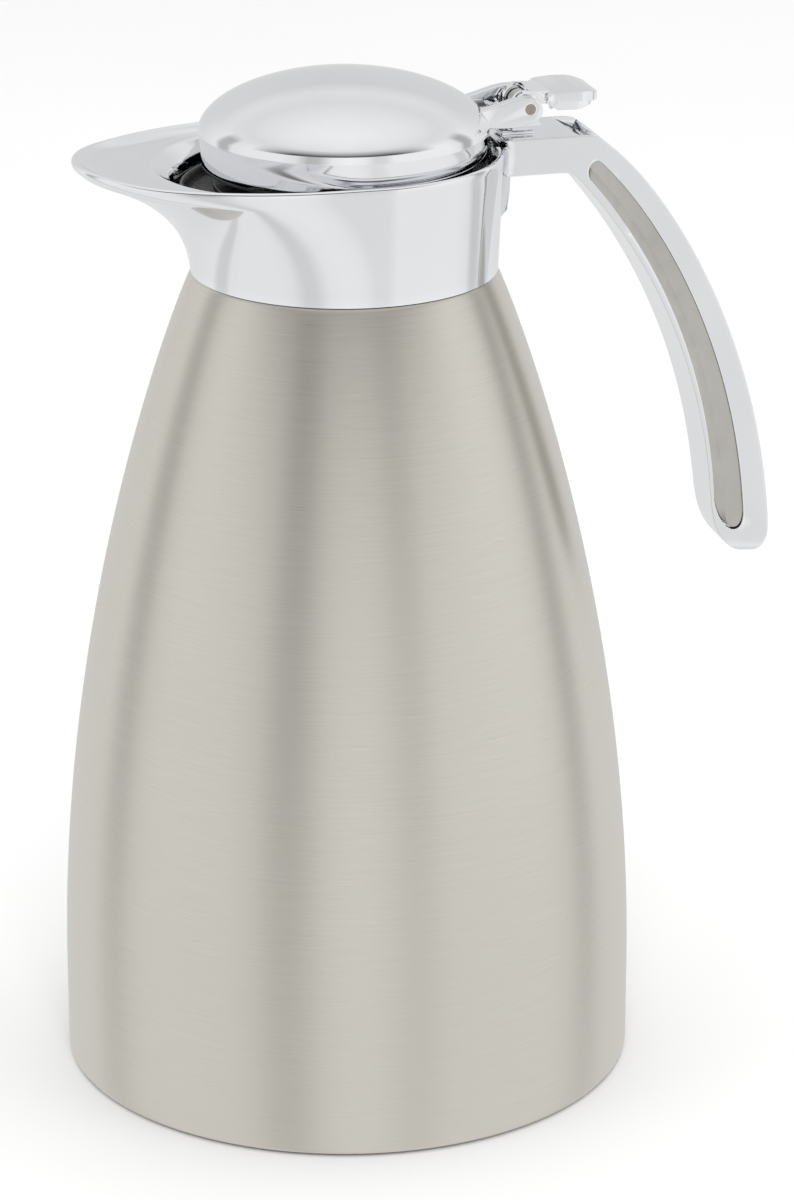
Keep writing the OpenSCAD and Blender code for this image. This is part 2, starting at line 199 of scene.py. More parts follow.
def first_point(x, y, z):
    """A single vertex in edit mode, from which an outline is drawn by extruding."""
    select_nothing()
    bpy.ops.mesh.primitive_plane_add(size=MM, location=(x * MM, y * MM, z * MM))
    settle()
    edit()
    bpy.ops.mesh.select_mode(type="VERT")
    take_all()
    bpy.ops.mesh.merge(type="CENTER")


def draw_on(step):
    bpy.ops.mesh.extrude_vertices_move(TRANSFORM_OT_translate={"value": tuple(c * MM for c in step)})


def turned(outline, around=160, centre=(0, 0), closed=False):
    """A turned piece: an outline of (radius, height) points, drawn by extruding, is spun
    round a vertical axis."""
    cx, cy = centre
    points = list(outline) + ([outline[0]] if closed else [])
    first_point(cx + points[0][0], cy, points[0][1])
    for (r0, z0), (r1, z1) in zip(points, points[1:]):
        draw_on((r1 - r0, 0, z1 - z0))
    take_all()
    bpy.ops.mesh.spin(steps=around, angle=2 * math.pi, center=(cx * MM, cy * MM, 0),
                      axis=(0, 0, 1))
    leave()
    settle()
    clean_mesh()


def rounded(outline, radius, steps=4, closed=True):
    """The outline of (a, b) points with each corner rounded; radius is one number or a list."""
    n = len(outline)
    result = []
    for i, point in enumerate(outline):
        r = radius[i] if isinstance(radius, (list, tuple)) else radius
        if r <= 0 or (not closed and i in (0, n - 1)):
            result.append(tuple(point))
            continue
        p = Vector(point)
        back = Vector(outline[i - 1]) - p
        ahead = Vector(outline[(i + 1) % n]) - p
        reach = min(r, back.length * 0.48, ahead.length * 0.48)
        a = p + back.normalized() * reach
        b = p + ahead.normalized() * reach
        for k in range(steps + 1):
            t = k / steps
            result.append(tuple((1 - t)**2 * a + 2 * t * (1 - t) * p + t * t * b))
    return result


def plate(outline, y0, y1):
    """A plate standing across the hinge: an outline of (x, z) points, filled and extruded
    from y0 to y1."""
    first_point(outline[0][0], y0, outline[0][1])
    points = list(outline) + [outline[0]]
    for (xa, za), (xb, zb) in zip(points, points[1:]):
        draw_on((xb - xa, 0, zb - za))
    take_all()
    bpy.ops.mesh.remove_doubles(threshold=TINY / 2)
    bpy.ops.mesh.edge_face_add()
    bpy.ops.mesh.extrude_region_move(TRANSFORM_OT_translate={"value": (0, (y1 - y0) * MM, 0)})
    leave()
    settle()
    clean_mesh()
    return bpy.context.object


def rod(radius, y0, y1, x, z, sides=48):
    """A round bar across the hinge, used as a cutter or a start."""
    select_nothing()
    bpy.ops.mesh.primitive_cylinder_add(vertices=sides, radius=radius * MM, depth=(y1 - y0) * MM,
                                        location=(x * MM, (y0 + y1) / 2 * MM, z * MM),
                                        rotation=(math.pi / 2, 0, 0))
    settle()
    return bpy.context.object


def same_y(edge):
    """Says yes to an edge whose two ends are equally far to one side."""
    return abs(edge.verts[0].co.y - edge.verts[1].co.y) < TINY


def block(low, high):
    """A box between two corners, used as a cutter."""
    select_nothing()
    size = [(b - a) * MM for a, b in zip(low, high)]
    centre = [(a + b) / 2 * MM for a, b in zip(low, high)]
    bpy.ops.mesh.primitive_cube_add(size=1, location=centre, scale=size)
    settle()
    return bpy.context.object


def join(objs):
    select_nothing()
    for o in objs:
        o.select_set(True)
    bpy.context.view_layer.objects.active = objs[0]
    bpy.ops.object.join()
    return bpy.context.object


def copy_of(obj):
    """A copy with its own mesh."""
    make_active(obj)
    bpy.ops.object.duplicate(linked=False)
    return bpy.context.object


def shift_y(obj, distance):
    make_active(obj)
    edit()
    take_all()
    bpy.ops.transform.translate(value=(0, distance * MM, 0))
    leave()


# ---- materials ----

LINE_DEPTH = 0.012
QUARTER_TURN = 0.25


def new_material(name):
    mat = bpy.data.materials.new(name)
    mat.use_nodes = True
    return mat, mat.node_tree.nodes, mat.node_tree.links, mat.node_tree.nodes["Principled BSDF"]


def noise(nodes, links, scale, detail=4.0, stretch=(1, 1, 1), rough=0.55):
    """Noise on the piece's own coordinates, drawn out along chosen axes."""
    coords = nodes.new("ShaderNodeTexCoord")
    mapping = nodes.new("ShaderNodeMapping")
    mapping.inputs["Scale"].default_value = stretch
    pattern = nodes.new("ShaderNodeTexNoise")
    pattern.inputs["Scale"].default_value = scale
    pattern.inputs["Detail"].default_value = detail
    pattern.inputs["Roughness"].default_value = rough
    links.new(coords.outputs["Object"], mapping.inputs["Vector"])
    links.new(mapping.outputs["Vector"], pattern.inputs["Vector"])
    return pattern.outputs["Fac"]


def ramp(nodes, links, value, stops):
    """Turns a value into a colour between stops of (place, colour)."""
    node = nodes.new("ShaderNodeValToRGB")
    band = node.color_ramp
    while len(band.elements) < len(stops):
        band.elements.new(0.5)
    for element, (place, colour) in zip(band.elements, stops):
        element.position = place
        element.color = (*colour, 1)
    links.new(value, node.inputs["Fac"])
    return node.outputs["Color"]


def grey(level):
    return (level, level, level)


def span(nodes, links, value, low, high, source=(0, 1)):
    """Stretches a value from one range to another."""
    node = nodes.new("ShaderNodeMapRange")
    node.inputs["From Min"].default_value = source[0]
    node.inputs["From Max"].default_value = source[1]
    node.inputs["To Min"].default_value = low
    node.inputs["To Max"].default_value = high
    links.new(value, node.inputs["Value"])
    return node.outputs["Result"]


def bump(nodes, links, height, distance, strength=1.0, under=None):
    node = nodes.new("ShaderNodeBump")
    node.inputs["Strength"].default_value = strength
    node.inputs["Distance"].default_value = distance * MM
    links.new(height, node.inputs["Height"])
    if under is not None:
        links.new(under, node.inputs["Normal"])
    return node.outputs["Normal"]


def edge_wear(nodes, links):
    """White on sharp convex edges, from the shape itself."""
    geometry = nodes.new("ShaderNodeNewGeometry")
    return ramp(nodes, links, geometry.outputs["Pointiness"], [(0.52, grey(0)), (0.6, grey(1))])


def blend_colours(nodes, links, factor, a, b):
    node = nodes.new("ShaderNodeMix")
    node.data_type = "RGBA"
    links.new(factor, node.inputs["Factor"])
    for socket, value in ((node.inputs[6], a), (node.inputs[7], b)):
        if isinstance(value, tuple):
            socket.default_value = (*value, 1)
        else:
            links.new(value, socket)
    return node.outputs[2]


def brushed_steel(name, colour, dark, rough=(0.26, 0.36), lines=1.0):
    """Stainless steel brushed round its axis: fine level lines, streaks and faint stains."""
    mat, nodes, links, shader = new_material(name)
    shader.inputs["Metallic"].default_value = 1.0
    shader.inputs["Anisotropic"].default_value = 0.8
    shader.inputs["Anisotropic Rotation"].default_value = QUARTER_TURN
    fine = noise(nodes, links, 60, 6, (1.2, 1.2, 90 * lines), 0.7)
    coarse = noise(nodes, links, 26, 4, (0.8, 0.8, 22 * lines), 0.6)
    stains = noise(nodes, links, 9, 3)
    tone = ramp(nodes, links, fine, [(0.25, dark), (0.75, colour)])
    tone = blend_colours(nodes, links, span(nodes, links, stains, 0, 0.35, (0.4, 0.75)), tone, dark)
    links.new(tone, shader.inputs["Base Color"])
    links.new(span(nodes, links, fine, rough[0], rough[1], (0.25, 0.75)), shader.inputs["Roughness"])
    normal = bump(nodes, links, coarse, 0.7 * LINE_DEPTH, 0.35)
    normal = bump(nodes, links, fine, LINE_DEPTH, 0.5, normal)
    links.new(normal, shader.inputs["Normal"])
    tangent = nodes.new("ShaderNodeTangent")
    tangent.direction_type = "RADIAL"
    tangent.axis = "Z"
    links.new(tangent.outputs["Tangent"], shader.inputs["Tangent"])
    return mat


def chrome(name, colour, rough=(0.035, 0.10), scratch=0.0016):
    """Polished plating with faint hair scratches, wiping marks and worn edges."""
    mat, nodes, links, shader = new_material(name)
    shader.inputs["Metallic"].default_value = 1.0
    smudge = noise(nodes, links, 38, 5)
    hair = noise(nodes, links, 240, 3, (1, 7, 3), 0.7)
    orange_peel = noise(nodes, links, 90, 2)
    tone = ramp(nodes, links, smudge, [(0.3, tuple(c * 0.955 for c in colour)), (0.7, colour)])
    worn = tuple(min(1, c * 1.06) for c in colour)
    tone = blend_colours(nodes, links, edge_wear(nodes, links), tone, worn)
    links.new(tone, shader.inputs["Base Color"])
    links.new(span(nodes, links, smudge, rough[0], rough[1], (0.35, 0.7)), shader.inputs["Roughness"])
    normal = bump(nodes, links, orange_peel, 0.006, 0.10)
    normal = bump(nodes, links, hair, scratch, 0.25, normal)
    links.new(normal, shader.inputs["Normal"])
    return mat


def machined(name, colour, rough=(0.22, 0.4), scale=160, stretch=(1, 1, 8)):
    """Small turned or pressed steel: fine tool marks and dull patches."""
    mat, nodes, links, shader = new_material(name)
    shader.inputs["Metallic"].default_value = 1.0
    marks = noise(nodes, links, scale, 4, stretch, 0.65)
    patches = noise(nodes, links, 45, 4)
    tone = ramp(nodes, links, patches, [(0.3, tuple(c * 0.8 for c in colour)), (0.7, colour)])
    worn = tuple(min(1, c * 1.2) for c in colour)
    tone = blend_colours(nodes, links, edge_wear(nodes, links), tone, worn)
    links.new(tone, shader.inputs["Base Color"])
    links.new(span(nodes, links, marks, rough[0], rough[1], (0.3, 0.7)), shader.inputs["Roughness"])
    links.new(bump(nodes, links, marks, 0.01, 0.35), shader.inputs["Normal"])
    return mat


def satin(name, colour, dark):
    """Satin metal inlay, blasted fine and drawn along its length."""
    mat, nodes, links, shader = new_material(name)
    shader.inputs["Metallic"].default_value = 1.0
    grain = noise(nodes, links, 420, 3, (1, 1, 0.5), 0.6)
    drawn = noise(nodes, links, 120, 4, (6, 6, 0.6), 0.6)
    cloud = noise(nodes, links, 24, 3)
    tone = ramp(nodes, links, cloud, [(0.3, dark), (0.72, colour)])
    links.new(tone, shader.inputs["Base Color"])
    links.new(span(nodes, links, grain, 0.36, 0.5, (0.3, 0.7)), shader.inputs["Roughness"])
    normal = bump(nodes, links, drawn, 0.008, 0.3)
    normal = bump(nodes, links, grain, 0.006, 0.4, normal)
    links.new(normal, shader.inputs["Normal"])
    return mat


def moulded_plastic(name, colour, light):
    """Moulded black plastic: spark-eroded grain, flow shades and rubbed edges."""
    mat, nodes, links, shader = new_material(name)
    shader.inputs["Specular IOR Level"].default_value = 0.42
    grain = noise(nodes, links, 900, 2, (1, 1, 1), 0.5)
    flow = noise(nodes, links, 30, 4, (1, 1, 2.5))
    tone = ramp(nodes, links, flow, [(0.3, colour), (0.75, light)])
    tone = blend_colours(nodes, links, edge_wear(nodes, links), tone, tuple(c * 2.2 for c in light))
    links.new(tone, shader.inputs["Base Color"])
    links.new(span(nodes, links, grain, 0.34, 0.5, (0.3, 0.7)), shader.inputs["Roughness"])
    links.new(bump(nodes, links, grain, 0.02, 0.4), shader.inputs["Normal"])
    return mat


def rubber(name, colour, light, sheen=0.25):
    """Silicone rubber: soft matte skin with dust and fine pores."""
    mat, nodes, links, shader = new_material(name)
    shader.inputs["Sheen Weight"].default_value = sheen
    shader.inputs["Subsurface Weight"].default_value = 0.08
    shader.inputs["Subsurface Scale"].default_value = 0.002
    pores = noise(nodes, links, 1200, 2)
    dust = noise(nodes, links, 60, 5)
    tone = ramp(nodes, links, dust, [(0.35, colour), (0.72, light)])
    links.new(tone, shader.inputs["Base Color"])
    links.new(span(nodes, links, dust, 0.55, 0.75, (0.3, 0.7)), shader.inputs["Roughness"])
    links.new(bump(nodes, links, pores, 0.015, 0.35), shader.inputs["Normal"])
    return mat


def foam_block(name, colour, dark):
    """Rigid foam with small closed cells."""
    mat, nodes, links, shader = new_material(name)
    coords = nodes.new("ShaderNodeTexCoord")
    cells = nodes.new("ShaderNodeTexVoronoi")
    cells.inputs["Scale"].default_value = 1400
    links.new(coords.outputs["Object"], cells.inputs["Vector"])
    tone = ramp(nodes, links, cells.outputs["Distance"], [(0.1, dark), (0.6, colour)])
    links.new(tone, shader.inputs["Base Color"])
    links.new(span(nodes, links, noise(nodes, links, 50), 0.8, 0.95), shader.inputs["Roughness"])
    links.new(bump(nodes, links, cells.outputs["Distance"], 0.12, 0.6), shader.inputs["Normal"])
    return mat


steel_skin = brushed_steel("brushed_body_steel", (0.735, 0.708, 0.642), (0.625, 0.60, 0.545))
flask_skin = brushed_steel("flask_steel", (0.62, 0.61, 0.59), (0.50, 0.49, 0.475), (0.2, 0.34), 0.6)
bright = chrome("polished_chrome", (0.86, 0.87, 0.885))
bright_lid = chrome("polished_lid_chrome", (0.87, 0.88, 0.895), (0.03, 0.075), 0.0012)
inlay_skin = satin("satin_inlay_metal", (0.60, 0.585, 0.545), (0.52, 0.505, 0.47))
black = moulded_plastic("moulded_black", (0.012, 0.012, 0.013), (0.026, 0.026, 0.027))
foot_rubber = rubber("foot_rubber", (0.055, 0.056, 0.06), (0.11, 0.11, 0.115))
seal_rubber = rubber("seal_rubber", (0.56, 0.55, 0.52), (0.68, 0.67, 0.64), 0.15)
foam_skin = foam_block("insulating_foam", (0.80, 0.76, 0.62), (0.55, 0.5, 0.4))
screw_steel = machined("turned_screw_steel", (0.56, 0.56, 0.57))
pin_metal = machined("hinge_pin_bronze", (0.40, 0.355, 0.30), (0.25, 0.42))
spring_wire = machined("spring_wire", (0.5, 0.5, 0.49), (0.2, 0.34), 220, (3, 1, 3))
getter_metal = machined("getter_metal", (0.34, 0.34, 0.35), (0.4, 0.6))

SLOT_MATERIAL = {
    "brushed_body": steel_skin, "flask_steel": flask_skin, "polished_chrome": bright,
    "satin_inlay": inlay_skin, "black_plastic": black, "foot_silicone": foot_rubber,
    "seal_silicone": seal_rubber, "foam": foam_skin, "small_steel": screw_steel,
    "pin_steel": pin_metal, "spring_steel": spring_wire, "getter_metal": getter_metal,
}

# The CAD parts that stay get the finish of their own slot
for part in nodes.values():
    for place in part.material_slots:
        for slot_name, finish in SLOT_MATERIAL.items():
            if place.material and place.material.name.startswith(slot_name):
                place.material = finish


# ---- steel body ----

# Steps round a turned piece
FINE, MEDIUM = 224, 128

SIDE = [(BASE_R, 21.4), (BASE_R, 121.3), (37.2, HEAD - 0.3), (36.4, HEAD)]
SIDE_STEPS = 44
body_side = [bezier(SIDE, k / SIDE_STEPS) for k in range(SIDE_STEPS + 1)]
skirt = [(BASE_R - 1.5, FOOT_Z + 0.9), (BASE_R - 1.3, FOOT_Z + 0.25), (BASE_R - 0.75, FOOT_Z),
         (BASE_R - 0.35, FOOT_Z + 0.12), (BASE_R - 0.06, FOOT_Z + 0.5), (BASE_R, FOOT_Z + 1.0),
         (BASE_R, FOOT_Z + 7), (BASE_R, FOOT_Z + 14)]
shoulder = [(36.2, HEAD + 0.2), (35.6, HEAD + 0.3), (33.4, HEAD + 0.3), (33.1, HEAD + 0.4),
            (33.0, HEAD + 0.8), (33.0, HEAD + 15.2), (32.8, HEAD + 15.55), (32.4, HEAD + 15.6)]
turned(skirt + body_side + shoulder, FINE)
clean_mesh()
add_modifier("SOLIDIFY", thickness=0.55 * MM, offset=-1)
done("body_shell", "jug", steel_skin, ["outer_shell"])

cover_low, cover_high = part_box("base_cover")
cover_r = cover_high.x / MM
cz = cover_low.z / MM
turned([(0, cz + 0.5), (7, cz + 0.5), (7.6, cz + 0.1), (8.2, cz), (24, cz), (24.4, cz + 0.5),
        (25.2, cz + 0.5), (25.6, cz), (40, cz), (40.4, cz + 0.5), (41.2, cz + 0.5), (41.6, cz),
        (53.6, cz), (53.9, cz + 0.3), (53.9, cz + 0.9), (64.1, cz + 0.9), (64.1, cz + 0.3),
        (64.4, cz), (cover_r - 0.5, cz), (cover_r - 0.1, cz + 0.15), (cover_r, cz + 0.5),
        (cover_r, cz + 2.2), (0, cz + 2.2)], MEDIUM)
done("base_cover_plate", "jug", black, ["base_cover"], 30)

foot_outline = [(54.1, 2.35), (54.05, 0.75), (54.25, 0.3), (54.7, 0.04), (55.4, 0), (56.4, 0),
                (56.6, 0.35), (57.2, 0.35), (57.4, 0), (60.4, 0), (60.6, 0.35), (61.2, 0.35),
                (61.4, 0), (62.6, 0), (63.3, 0.04), (63.75, 0.3), (63.95, 0.75), (63.9, 2.35)]
turned(foot_outline, MEDIUM, closed=True)
done("foot_ring_rubber", "jug", foot_rubber, ["foot_ring"], 40)


# ---- collar with its spout ----

WALL_R, RIM_Z = 36.5, 28.9
STRAIGHT_RUN = 9
LIP_SIDE = [(36.6, 0.5), (37.6, 11), (43.5, 20), (LIP_REACH - 2.1, 25.7)]


def wall_r(z):
    return mix(WALL_R, RIM_R, z / RIM_Z)


def straight_part(b, tip):
    """How far a loop runs straight before it rounds into the spout."""
    return STRAIGHT_RUN * max(0.0, (tip - b) / (LIP_REACH - RIM_R))


def spout_walk(loops, around=144):
    """Extrudes one loop after another. Each is a circle of radius b, drawn out in front to tip,
    at height z."""
    b0, _, z0 = loops[0]
    select_nothing()
    bpy.ops.mesh.primitive_circle_add(vertices=around, radius=b0 * MM,
                                      location=(0, 0, (HEAD + z0) * MM))
    settle()
    edit()
    bpy.ops.mesh.select_mode(type="VERT")
    take_all()
    last = (b0, b0, z0)
    for index, (b, tip, z) in enumerate(loops):
        pb, ptip, pz = last
        if index:
            bpy.ops.mesh.extrude_edges_move(
                TRANSFORM_OT_translate={"value": (0, 0, (z - pz) * MM)})
        u0, u = straight_part(pb, ptip), straight_part(b, tip)
        level = (HEAD + z) * MM
        if abs(b - pb) > 0.001:
            bpy.ops.transform.resize(value=(b / pb, b / pb, 1), center_override=(0, 0, level))
        grown = u0 * b / pb
        reach0 = ptip * b / pb - grown
        keep_of_selected(lambda v: v.co.x < -grown * MM - TINY)
        factor = (tip - u) / reach0
        if abs(factor - 1) > 0.0001:
            bpy.ops.transform.resize(value=(factor, 1, 1), center_override=(-grown * MM, 0, level))
        if abs(u - grown) > 0.0001:
            bpy.ops.transform.translate(value=(-(u - grown) * MM, 0, 0))
        mesh = bmesh.from_edit_mesh(bpy.context.object.data)
        for v in mesh.verts:
            v.select_set(abs(v.co.z - level) < TINY / 4 and v.co.length > 0
                         and (index == 0 or any(not e.is_manifold and len(e.link_faces) < 2
                                                for e in v.link_edges)))
        mesh.select_flush_mode()
        bmesh.update_edit_mesh(bpy.context.object.data)
        last = (b, tip, z)
    leave()


def bridge_rims():
    """Joins the first rim to the last, and stays in edit mode."""
    edit()
    take("EDGE", lambda e: e.is_boundary)
    bpy.ops.mesh.bridge_edge_loops()


outside = []
for k in range(15):
    reach, level = bezier(LIP_SIDE, k / 14)
    outside.append((wall_r(level), max(reach, wall_r(level) + 0.01), level))
collar_loops = outside + [
    (37.75, LIP_REACH - 0.6, 26.9), (37.8, LIP_REACH - 0.12, 27.5), (37.8, LIP_REACH, 28.0),
    (37.72, LIP_REACH - 0.1, 28.5), (37.5, LIP_REACH - 0.45, 28.8), (37.15, LIP_REACH - 0.95, 28.9),
    (36.8, LIP_REACH - 1.4, 28.8), (36.5, LIP_REACH - 1.8, 28.5), (36.3, LIP_REACH - 2.4, 28.1),
    (36.1, 60.4, 27.45), (36.05, 57, 27.1), (36, 53, 26.95), (35.95, 49, 26.88), (35.9, 46.6, 26.8),
    (35.9, 45.9, 26.65), (35.9, 45.3, 26.3), (35.9, 43.6, 25.3), (35.9, 41.9, 24.3),
    (35.9, 41.3, 23.7), (35.9, 40.9, 22.9), (35.9, 38.8, 19.2), (35.9, 36.5, 14.6),
    (35.7, 36.0, 14.41), (33.3, 33.5, 14.4), (33.1, 33.2, 14.2), (33.1, 33.15, 7), (33.1, 33.15, 0.8),
    (33.3, 33.35, 0.52), (36.2, 36.25, 0.51)]
spout_walk(collar_loops)
bridge_rims()
take("VERT", lambda v: v.co.x < -(LIP_REACH - 0.9) * MM and v.co.z > (HEAD + 27.2) * MM)
bpy.ops.transform.translate(value=(0, 0, 0.85 * MM), use_proportional_edit=True,
                            proportional_edit_falloff="SMOOTH", proportional_size=26 * MM)
leave()
clean_mesh()
done("collar_and_spout", "jug", bright, ["spout_collar"], 50)

# Liner of moulded black plastic in the throat; its black is partly real plastic and partly painted
# shade for the dark hollow where little light reaches
spout_walk([(28.3, 28.35, 17.3), (33, 33.6, 17.31), (35.6, 36.7, 17.33), (35.7, 37.0, 17.6),
            (35.7, 37.9, 19.2), (35.7, 38.9, 21.2), (35.5, 38.8, 21.45), (34.9, 38.4, 21.45),
            (34.65, 38.1, 21.2), (34.6, 37.6, 20.2), (34.5, 36.8, 19.1), (34.1, 36.2, 18.6),
            (33, 34, 18.3), (31.5, 31.6, 18.1), (28.7, 28.8, 18.1), (28.35, 28.4, 17.9),
            (28.3, 28.35, 17.5)], 120)
bridge_rims()
leave()
clean_mesh()
done("pouring_channel_liner", "jug", black, ["collar_liner"], 40)


# ---- handle ----

ARM_UNDER = 22.4
ARM_TOP = 31.1
INNER = [(53.8, 21.9), (65.8, 8.7), (86.8, -18.5), (90.8, -63.2)]
OUTER = [(58.6, ARM_TOP), (73.8, 22.5), (102.3, -19), (106.1, -72.1)]
END = (102.3, -79.0)
ARM_HALF = 10.4
END_HALF = 6.5


def half_width(z):
    return ARM_HALF - max(0.0, ARM_UNDER - z) * (ARM_HALF - END_HALF) / (ARM_UNDER - END[1])


def strip(rows, parts):
    """A flat strip standing along the handle: a row of edges is extruded from station to station,
    turned and resized at each. A row is (inner point, outer point)."""
    a, b = rows[0][:2]
    first_point(a[0], 0, HEAD + a[1])
    for _ in range(parts):
        draw_on(((b[0] - a[0]) / parts, 0, (b[1] - a[1]) / parts))
    take_all()
    for row0, row1 in zip(rows, rows[1:]):
        d0 = Vector(row0[1]) - Vector(row0[0])
        d1 = Vector(row1[1]) - Vector(row1[0])
        m0 = Vector(row0[0]) + d0 / 2
        m1 = Vector(row1[0]) + d1 / 2
        bpy.ops.mesh.extrude_edges_move(TRANSFORM_OT_translate={
            "value": ((m1.x - m0.x) * MM, 0, (m1.y - m0.y) * MM)})
        centre = (m1.x * MM, 0, (HEAD + m1.y) * MM)
        grow = d1.length / d0.length
        bpy.ops.transform.resize(value=(grow, 1, grow), center_override=centre)
        turn = math.atan2(d1.x, d1.y) - math.atan2(d0.x, d0.y)
        if abs(turn) > 0.00001:
            bpy.ops.transform.rotate(value=-turn, orient_axis="Y", center_override=centre)


def near(points, reach=0.05):
    """Says yes to vertices whose place along the handle is one of these (x, height) points."""
    spots = [Vector((x, HEAD + z)) for x, z in points]
    return lambda v: any((Vector((v.co.x / MM, v.co.z / MM)) - s).length < reach for s in spots)


def row_spots(row, parts):
    a, b = Vector(row[0]), Vector(row[1])
    return [tuple(a.lerp(b, k / parts)) for k in range(parts + 1)]


# Stations of the handle as (inner point, outer point, share of its width)
ROOT_X, BEND_X = 36.0, 51.6
ARM_STEPS, GRIP_STEPS = 6, 26
stations = []
for k in range(ARM_STEPS + 1):
    x = ROOT_X + k * (BEND_X - ROOT_X) / ARM_STEPS
    stations.append(((x, ARM_UNDER - 0.12 + 0.02 * k), (x + (x - ROOT_X) * 0.2, ARM_TOP), 1.0))
for k in range(GRIP_STEPS + 1):
    stations.append((bezier(INNER, k / GRIP_STEPS), bezier(OUTER, k / GRIP_STEPS), 1.0))
for angle in (20, 38, 54, 67, 77, 84):
    s, c = math.sin(math.radians(angle)), math.cos(math.radians(angle))
    stations.append(((mix(END[0], INNER[3][0], c), mix(INNER[3][1], END[1], s)),
                     (mix(END[0], OUTER[3][0], c), mix(OUTER[3][1], END[1], s)),
                     max(0.34, c**0.45)))

DEPTH_PARTS = 4
strip(stations, DEPTH_PARTS)
take_all()
bpy.ops.mesh.extrude_region_move(TRANSFORM_OT_translate={"value": (0, -ARM_HALF * MM, 0)})
for row in stations:
    spots = near(row_spots(row, DEPTH_PARTS), 0.08)
    height = (row[0][1] + row[1][1]) / 2
    take("VERT", lambda v: v.co.y < -MM and spots(v))
    for spot in row_spots(row, DEPTH_PARTS):
        here = near([spot], 0.08)
        if take("VERT", lambda v: v.co.y < -MM and here(v)):
            bpy.ops.transform.translate(
                value=(0, (ARM_HALF - half_width(spot[1]) * row[2]) * MM, 0))
take("FACE", lambda f: all(abs(v.co.y) < TINY for v in f.verts))
bpy.ops.mesh.delete(type="FACE")
leave()
mirror_y()
edit()
lines = near([row[0] for row in stations] + [row[1] for row in stations], 0.08)
take("EDGE", lambda e: all(abs(v.co.y) > MM and lines(v) for v in e.verts)
     and (e.verts[0].co - e.verts[1].co).length > 0.3 * MM
     and abs(e.verts[0].co.y - e.verts[1].co.y) < 2 * MM and len(e.link_faces) == 2)
bpy.ops.mesh.bevel(offset=2.3 * MM, segments=5, affect="EDGES", clamp_overlap=True)
leave()
subdivide(1)
edit()
take("EDGE", lambda e: e.is_boundary)
bpy.ops.mesh.fill_holes(sides=0)
leave()
clean_mesh()
handle = bpy.context.object

# The recess that the thumb lever dips into when the lid is open
LEVER_SWEEP, SWEEP_HALF = 18.3, 9.3
sweep = rod(LEVER_SWEEP, -SWEEP_HALF, SWEEP_HALF, PIN_X, PIN_Z, 96)
slope = block((2, -20, -1.4), (42, 20, 38))
slope.location = (PIN_X * MM, 0, PIN_Z * MM)
slope.rotation_euler = (0, LID_TRAVEL, 0)
settle()
cut(sweep, slope, "INTERSECT")
behind = block((45, -20, HEAD + 20), (85, 20, HEAD + 60))
cut(sweep, behind, "INTERSECT")
cut(handle, sweep)

# A pocket for the inlay on each side
INLAY_FROM, INLAY_TO = 0.05, 1.035
INLAY_LENGTH = 104.0
TAPER = math.atan((ARM_HALF - END_HALF) / (ARM_UNDER - END[1]))


def inlay_rows(count, grow=0.0):
    """Rows of the inlay's face, closer together at its two rounded ends."""
    rows = []
    for k in range(count + 1):
        along = (1 - math.cos(math.pi * k / count)) / 2
        t = mix(INLAY_FROM - grow, INLAY_TO + grow, along)
        from_end = min(along, 1 - along) * INLAY_LENGTH / (3.4 if along < 0.5 else 4.6)
        roundness = max(0.04, 1 - max(0.0, 1 - from_end)**2)**0.5
        centre = 0.39 - 0.08 * t
        a, b = Vector(bezier(INNER, t)), Vector(bezier(OUTER, t))
        rows.append((tuple(a.lerp(b, mix(centre, 0.18 - 0.12 * t - grow, roundness))),
                     tuple(a.lerp(b, mix(centre, 0.6 - 0.04 * t + grow, roundness)))))
    return rows


POCKET_DEPTH = 2.1
pocket_rows = inlay_rows(56, 0.004)
ring = [(a[0], HEAD + a[1]) for a, b in pocket_rows]
ring += [(b[0], HEAD + b[1]) for a, b in reversed(pocket_rows)]
for side in (-1, 1):
    cutter = plate(ring, side * (ARM_HALF - POCKET_DEPTH), side * 20)
    edit()
    take_all()
    bpy.ops.transform.rotate(value=side * TAPER, orient_axis="X",
                             center_override=(0, side * ARM_HALF * MM, (HEAD + ARM_UNDER) * MM))
    leave()
    cut(handle, cutter)

# Blind bore for the cross pin
cross_low, cross_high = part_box("handle_pin")
pin_x = (cross_low.x + cross_high.x) / 2 / MM
pin_z = (cross_low.z + cross_high.z) / 2 / MM
bore = rod(1.05, -8.8, 8.8, pin_x, pin_z, 32)
cut(handle, bore)
bevel_edges(0.16, 2, 40)
done("handle_arm_and_grip", "jug", bright, ["handle"], 42)

# Tongue that carries the handle down the back of the collar
tongue = [(37.2, 29.0), (39.4, 29.0), (39.2, 24), (38.9, 18), (38.6, 13), (38.1, 10.6), (37.4, 10.2),
          (36.9, 10.4)]
plate([(x, HEAD + z) for x, z in tongue], -6.4, 6.4)
edit()
take("VERT", lambda v: v.co.z < (HEAD + 11) * MM)
bpy.ops.transform.resize(value=(1, 0.35, 1), center_override=(0, 0, 0))
take("VERT", lambda v: (HEAD + 12) * MM < v.co.z < (HEAD + 14) * MM)
bpy.ops.transform.resize(value=(1, 0.82, 1), center_override=(0, 0, 0))
leave()
bevel_edges(0.6, 4, 30)
done("handle_root_tongue", "jug", bright, (), 50)

